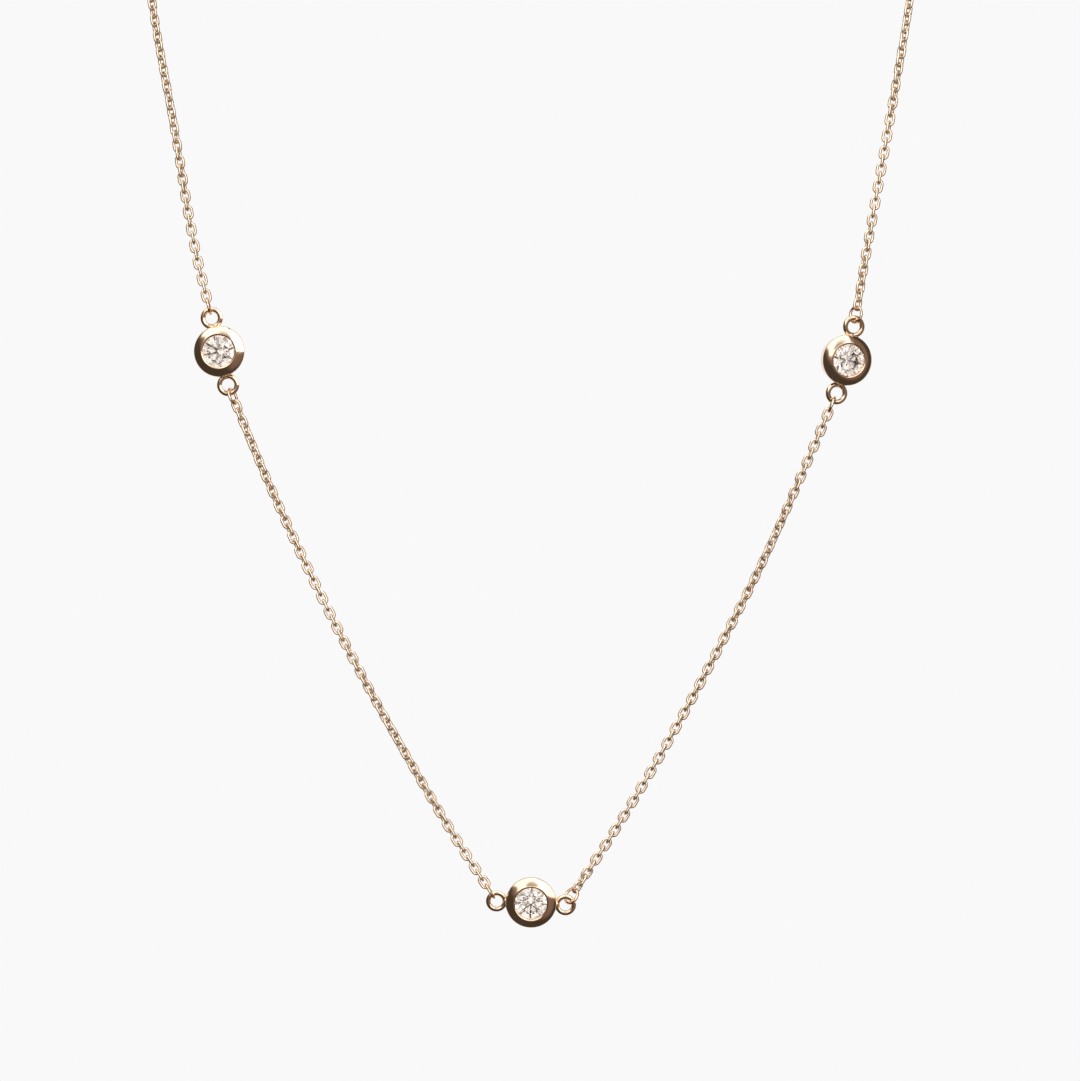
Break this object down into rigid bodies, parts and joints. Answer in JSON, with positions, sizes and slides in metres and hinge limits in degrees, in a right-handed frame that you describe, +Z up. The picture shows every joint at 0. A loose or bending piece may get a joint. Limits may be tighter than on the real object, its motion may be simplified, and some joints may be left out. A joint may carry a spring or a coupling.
{
  "type": "station necklace",
  "caption": "Fine cable chain necklace with small round stones in closed bezels spaced along its front, as it hangs round a neck.",
  "frame": {"origin": "middle of the clasp at the back of the neck, where the necklace sits on it", "axes": "+Z up, -Y from the clasp towards the stones, which face -Y, +X to the right as seen from the front"},
  "size_m": [0.0952, 0.0961, 0.1278],
  "materials": {
    "gold": "polished warm gold",
    "stone": "polished clear cut stone"
  },
  "bodies": {
    "root": {"bezel_center": "gold", "bezel_left": "gold", "bezel_right": "gold", "stone_center": "stone", "stone_left": "stone", "stone_right": "stone", "ring_center_left": "gold", "ring_center_right": "gold", "ring_left_bottom": "gold", "ring_left_top": "gold", "ring_right_bottom": "gold", "ring_right_top": "gold", "chain_lower_left": "gold", "chain_lower_right": "gold", "chain_upper_left": "gold", "chain_upper_right": "gold", "ring_clasp_left": "gold", "ring_clasp_right": "gold", "clasp": "gold"}
  },
  "joints": []
}
